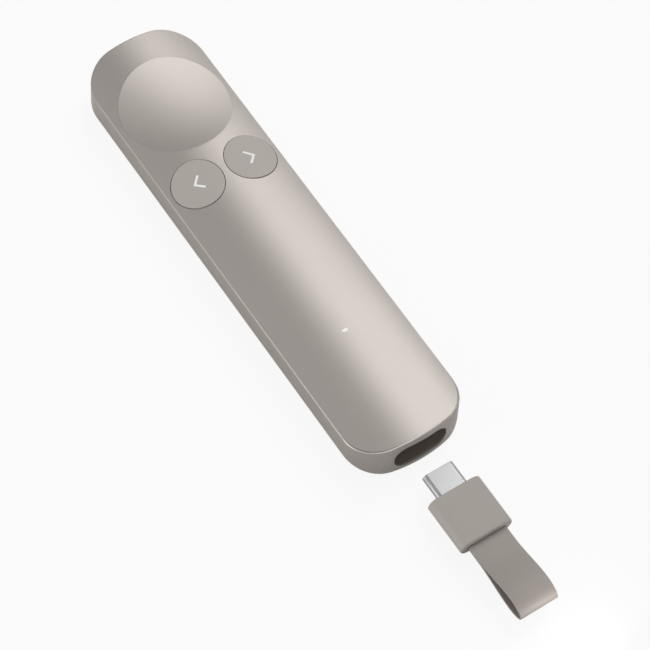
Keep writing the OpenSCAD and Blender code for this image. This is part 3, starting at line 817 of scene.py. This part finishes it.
# Plug: a deep-drawn steel shell with rounded sides and a rolled rim, round a black moulded
# core whose mouth has gold contacts on both faces.
plug_tip_y = -70.4 * mm
case_front_y = -76.8 * mm
plug_skin = 0.25 * mm
plug_root_l = 2.5 * mm
core_w = plug_w - 2 * plug_skin
core_h = plug_t - 2 * plug_skin
core_mouth_w = 6.95 * mm
core_mouth_h = 0.95 * mm
core_mouth_l = 5.6 * mm
core_flare = 0.2 * mm
core_flare_r = 0.25 * mm
core_flare_l = 0.1 * mm
core_mouth_r = 0.15 * mm
core_steps = 8
plug_rim_r = 0.1 * mm
plug_steps = 20
plug_pad_l = 3.4 * mm
plug_pad_t = 0.04 * mm
plug_pad_sink = 0.02 * mm

plug_steel = grained("plug_steel", (0.34, 0.34, 0.343), 0.45, metallic=1, tone=0.03,
                     per_metre=5000, height_mm=0.0006, strength=0.1)
plug_can = steel_tube("plug_can", plug_w, plug_t, plug_skin, case_front_y - plug_root_l,
                      plug_tip_y, plug_rim_r, plug_steps)
dress(plug_can, plug_steel, "receiver", "plug_steel", "plug_shell")
core_front = plug_tip_y - plug_skin
core_rings = []
for w, h, r, y in ((core_w, core_h, core_h / 2, case_front_y - plug_root_l),
                   (core_w, core_h, core_h / 2, core_front),
                   (core_mouth_w + core_flare, core_mouth_h + core_flare, core_flare_r, core_front),
                   (core_mouth_w, core_mouth_h, core_mouth_r, core_front - core_flare_l),
                   (core_mouth_w, core_mouth_h, core_mouth_r, plug_tip_y - core_mouth_l)):
    core_rings.append(bar_ring(w, h, r, y, core_steps))
plug_core = new_piece("plug_core", loft(core_rings))
dress(plug_core, black_moulding, "receiver", "black_moulding", "plug_insert")
plug_pads = contact_pads("plug_pads", plug_tip_y - core_mouth_l, plug_pad_l,
                         [axis_z + s * (core_mouth_h / 2 - plug_pad_sink) for s in (-1, 1)],
                         plug_pad_t)
dress(plug_pads, gold_plate, "receiver", "gold", "plug_contacts")


# Receiver housing: a small block of fine matte plastic with rounded sides, moulded round
# the plug's root, with a slot in its tail for the strap.
case_w = 14.2 * mm
case_t = 5 * mm
case_l = 13.2 * mm
case_edge_r = 0.4 * mm
case_tail_y = case_front_y - case_l
strap_w = 10.3 * mm
strap_t = 0.55 * mm
strap_root_l = 4.4 * mm
slot_gap = 0.05 * mm
slot_w = strap_w + 2 * slot_gap
slot_h = 2 * (strap_t + slot_gap)
slot_r = 0.1 * mm
slot_over = 0.1 * mm
slot_edge = [(0.3, 0.3, 0), (0.06, 0.2, 0.06), (0, 0.1, 0.25)]
plug_seat_gap = 0.05 * mm
plug_seat_flare = 0.15 * mm
case_steps = 16
case_edge_steps = 6
case_runs = 4
case_smooth_deg = 40


def case_ring(inset, y):
    """Ring of the housing's section, drawn in by inset."""
    h = case_t - 2 * inset
    return bar_ring(case_w - 2 * inset, h, h / 2, y, case_steps)


def case_hole(w, h, r, y):
    """Ring of a hole in one of the housing's ends."""
    return bar_ring(w, h, r, y, case_steps)


case_rings = [case_hole(plug_w + plug_seat_gap, plug_t + plug_seat_gap, plug_t / 2, y)
              for y in (case_front_y - plug_root_l, case_front_y - plug_seat_gap)]
case_rings.append(case_hole(plug_w + plug_seat_flare, plug_t + plug_seat_flare, plug_t / 2,
                            case_front_y))
arc = [pi / 2 * k / case_edge_steps for k in range(case_edge_steps + 1)]
case_rings += [case_ring(case_edge_r * (1 - sin(a)), case_front_y - case_edge_r * (1 - cos(a)))
               for a in arc]
case_rings += [case_ring(0, case_front_y - case_l * k / case_runs) for k in range(1, case_runs)]
case_rings += [case_ring(case_edge_r * (1 - cos(a)), case_tail_y + case_edge_r * (1 - sin(a)))
               for a in arc]
case_rings += [case_hole(slot_w + grow * mm, slot_h + grow * mm, r * mm, case_tail_y + deep * mm)
               for grow, r, deep in slot_edge]
case_rings.append(case_hole(slot_w, slot_h, slot_r, case_tail_y + strap_root_l + slot_over))
case = new_piece("receiver_case", loft(case_rings), case_smooth_deg)
case_matte = grained("case_matte", (0.376, 0.34, 0.311), 0.6, tone=0.06, per_metre=9000,
                     height_mm=0.003, strength=0.25)
dress(case, case_matte, "receiver", "housing", "receiver_housing")


# Strap: one flat strip of smooth elastomer, folded on itself and held in the housing. Its two
# layers lie together behind the housing and part into a flat loop at the fold.
strap_l = 20.3 * mm
loop_half = 2.3 * mm
nose_reach = 4.5 * mm
loop_lift = 0.2 * mm
nose_droop = 0.3 * mm
split_share = 0.25
layer_t = 0.48 * mm
strap_edge_r = 0.2 * mm
lift_share = 0.7
strap_steps = 40
root_steps = 4
strap_edge_steps = 5
strap_smooth_deg = 60
nose_l = strap_l - nose_reach
lift_l = lift_share * strap_l


def ease(u):
    """Smooth step from 0 to 1."""
    v = max(0, min(1, u))
    return v * v * (3 - 2 * v)


def strap_line():
    """Middle line of the strip, seen from the side: out along the top, round and back."""
    thin = layer_t / 2

    def face(u):
        """Middle of the top layer at a share of the way to the fold."""
        flare = ease((u - split_share) / (1 - split_share))
        return strap_t + (loop_half - strap_t) * flare - thin

    top = [(-strap_root_l + strap_root_l * i / root_steps, strap_t - thin) for i in range(root_steps)]
    top += [(nose_l * i / strap_steps, face(i / strap_steps)) for i in range(strap_steps + 1)]
    nose = [(nose_l + (nose_reach - thin) * cos(a), (loop_half - thin) * sin(a))
            for a in (pi / 2 - pi * i / strap_steps for i in range(1, strap_steps))]
    line = top + nose + [(along, -up) for along, up in reversed(top)]
    bent = []
    for along, up in line:
        past = max(0, along - lift_l) / (strap_l - lift_l)
        bent.append((along, up + loop_lift * ease(along / lift_l) - nose_droop * past ** 2))
    return bent


def strap_rings():
    """Rounded sections of the strip across its middle line."""
    line = strap_line()
    rings = []
    for i, (along, up) in enumerate(line):
        before, after = line[max(i - 1, 0)], line[min(i + 1, len(line) - 1)]
        step = hypot(after[0] - before[0], after[1] - before[1])
        normal = (-(after[1] - before[1]) / step, (after[0] - before[0]) / step)
        ring = []
        for x, _, out in bar_ring(strap_w, layer_t, strap_edge_r, 0, strap_edge_steps, 0):
            ring.append((x, case_tail_y - along - normal[0] * out, axis_z + up + normal[1] * out))
        rings.append(ring)
    return rings


strap = new_piece("strap_loop", loft(strap_rings()), strap_smooth_deg)
strap_rubber = grained("strap_rubber", (0.294, 0.26, 0.233), 0.5, tone=0.05, per_metre=7000,
                       height_mm=0.002, strength=0.2)
dress(strap, strap_rubber, "receiver", "strap", "strap")


# Sealed inside: the board with its screws, switches and chips, the cell with its pad, socket
# and leads, the motor, and the receiver's own board. Each keeps its solid and gets its finish.
board_green = grained("board_green", (0.02, 0.09, 0.045), 0.4, tone=0.25, per_metre=1500)
plain_steel = grained("plain_steel", (0.55, 0.55, 0.57), 0.34, metallic=1, per_metre=5000)
pale_moulding = grained("pale_moulding", (0.78, 0.76, 0.70), 0.5, per_metre=7000)
cell_foil = grained("cell_foil", (0.60, 0.61, 0.63), 0.36, metallic=0.8, tone=0.1, per_metre=2500)
pad_foam = grained("pad_foam", (0.03, 0.03, 0.032), 0.9, tone=0.4, per_metre=3000,
                   height_mm=0.05, strength=0.5)
lead_red = grained("lead_red", (0.45, 0.03, 0.025), 0.5, per_metre=4000)
for finish, names in (
        (board_green, ("main_board", "receiver_board")),
        (plain_steel, ("board_screws", "radio_shield", "vibration_motor", "strap_pin")),
        (black_moulding, ("pointer_switch", "back_switch", "next_switch", "processor",
                          "radio_chip", "motion_sensor", "charge_chip", "receiver_chip")),
        (pale_moulding, ("pointer_stem", "back_stem", "next_stem", "chip_antenna",
                         "battery_socket")),
        (milky_glow, ("status_led",)), (cell_foil, ("battery",)),
        (pad_foam, ("battery_pad",)), (lead_red, ("battery_leads",))):
    for name in names:
        nodes[name].data.materials.clear()
        nodes[name].data.materials.append(finish)


# Studio: a pale floor that keeps a soft shadow, a white surround and large soft lamps. The
# object's shine sees a low wall of light and a window towards the tail, and one small lamp
# stands by the strap's fold, which the large ones leave dark.
floor_size = 6
floor_drop = 0.2 * mm
floor_tone = 0.7
floor_rough = 0.9
floor_shown = {"Is Camera Ray": 0.9, "Is Transmission Ray": 0.9, "Is Glossy Ray": 0.22}
wall_level = 1
above_level = 0.12
wall_full_deg = 16
wall_end_deg = 26
window_way = (-0.146, -0.826, 0.545)
window_edge_deg = 50
window_full_deg = 32
window_level = 3
fill_level = 0.25
lamp_distance = 1.2
fold_place = Vector((0, -0.109, 0.006))
bm = bmesh.new()
bmesh.ops.create_grid(bm, x_segments=1, y_segments=1, size=floor_size / 2)
floor = new_piece("floor", bm)
floor.data.transform(Matrix.Translation((0, 0, -floor_drop)))


def largest(tree, values):
    """The largest of some values, as one output."""
    found = values[0]
    for value in values[1:]:
        step = tree.nodes.new("ShaderNodeMath")
        step.operation = "MAXIMUM"
        tree.links.new(found, step.inputs[0])
        tree.links.new(value, step.inputs[1])
        found = step.outputs[0]
    return found


def times(tree, value, number):
    """A value times a number, as one output."""
    step = tree.nodes.new("ShaderNodeMath")
    step.operation = "MULTIPLY"
    tree.links.new(value, step.inputs[0])
    step.inputs[1].default_value = number
    return step.outputs[0]


floor_white, tree, shader = node_material("floor_white")
shader.inputs["Base Color"].default_value = (floor_tone, floor_tone, floor_tone, 1)
shader.inputs["Roughness"].default_value = floor_rough
glow = tree.nodes.new("ShaderNodeEmission")
path = tree.nodes.new("ShaderNodeLightPath")
shown = [times(tree, path.outputs[kind], share) for kind, share in floor_shown.items()]
mix = tree.nodes.new("ShaderNodeMixShader")
tree.links.new(largest(tree, shown), mix.inputs["Fac"])
tree.links.new(shader.outputs[0], mix.inputs[1])
tree.links.new(glow.outputs[0], mix.inputs[2])
tree.links.new(mix.outputs[0], tree.nodes["Material Output"].inputs["Surface"])
floor.data.materials.append(floor_white)

world = bpy.data.worlds.new("surround")
scene.world = world
world.use_nodes = True
tree = world.node_tree
tree.nodes.clear()
sent = tree.nodes.new("ShaderNodeOutputWorld")
path = tree.nodes.new("ShaderNodeLightPath")
way = tree.nodes.new("ShaderNodeTexCoord")
apart = tree.nodes.new("ShaderNodeSeparateXYZ")
tree.links.new(way.outputs["Generated"], apart.inputs[0])
wall = tree.nodes.new("ShaderNodeMapRange")
wall.interpolation_type = "SMOOTHSTEP"
wall.inputs["From Min"].default_value = sin(radians(wall_full_deg))
wall.inputs["From Max"].default_value = sin(radians(wall_end_deg))
wall.inputs["To Min"].default_value = wall_level
wall.inputs["To Max"].default_value = above_level
tree.links.new(apart.outputs["Z"], wall.inputs["Value"])
tailward = tree.nodes.new("ShaderNodeVectorMath")
tailward.operation = "DOT_PRODUCT"
tree.links.new(way.outputs["Generated"], tailward.inputs[0])
tailward.inputs[1].default_value = window_way
window = tree.nodes.new("ShaderNodeMapRange")
window.interpolation_type = "SMOOTHSTEP"
window.inputs["From Min"].default_value = cos(radians(window_edge_deg))
window.inputs["From Max"].default_value = cos(radians(window_full_deg))
window.inputs["To Max"].default_value = window_level
tree.links.new(tailward.outputs["Value"], window.inputs["Value"])
shine = tree.nodes.new("ShaderNodeMath")
shine.operation = "MULTIPLY"
tree.links.new(largest(tree, [wall.outputs[0], window.outputs[0]]), shine.inputs[0])
tree.links.new(path.outputs["Is Glossy Ray"], shine.inputs[1])
fill = times(tree, path.outputs["Is Diffuse Ray"], fill_level)
lit = tree.nodes.new("ShaderNodeBackground")
tree.links.new(largest(tree, [path.outputs["Is Camera Ray"], path.outputs["Is Transmission Ray"],
                              shine.outputs[0], fill]), lit.inputs["Color"])
tree.links.new(lit.outputs[0], sent.inputs["Surface"])


def softbox(name, round_deg, up_deg, size, power, distance=lamp_distance, aim=Vector((0, 0, 0))):
    """A square lamp that faces a point, from an angle round it and one above the floor."""
    data = bpy.data.lights.new(name, "AREA")
    data.shape = "SQUARE"
    data.size = size
    data.energy = power
    lamp = bpy.data.objects.new(name, data)
    scene.collection.objects.link(lamp)
    turned, raised = radians(round_deg), radians(up_deg)
    way = Vector((cos(turned) * cos(raised), sin(turned) * cos(raised), sin(raised)))
    facing = way.to_track_quat("Z", "Y").to_matrix().to_4x4()
    lamp.matrix_world = Matrix.Translation(aim + way * distance) @ facing


for name, round_deg, up_deg, size, power in (
        ("key_lamp", 15, 40, 0.4, 3.1), ("key_side", 45, 40, 0.4, 1.07),
        ("key_high_side", 45, 55, 0.4, 1.73), ("key_high", 15, 70, 0.4, 3.0),
        ("left_fill", 150, 32, 0.4, 1), ("left_low_fill", 176, 7, 0.3, 6.3),
        ("tail_fill", -125, 40, 0.6, 0.2), ("front_fill", 135, 60, 0.6, 0.94)):
    softbox(name, round_deg, up_deg, size, power)
softbox("fold_fill", round_deg=-70, up_deg=14, size=0.012, power=0.0037, distance=0.02,
        aim=fold_place)

bpy.context.view_layer.update()
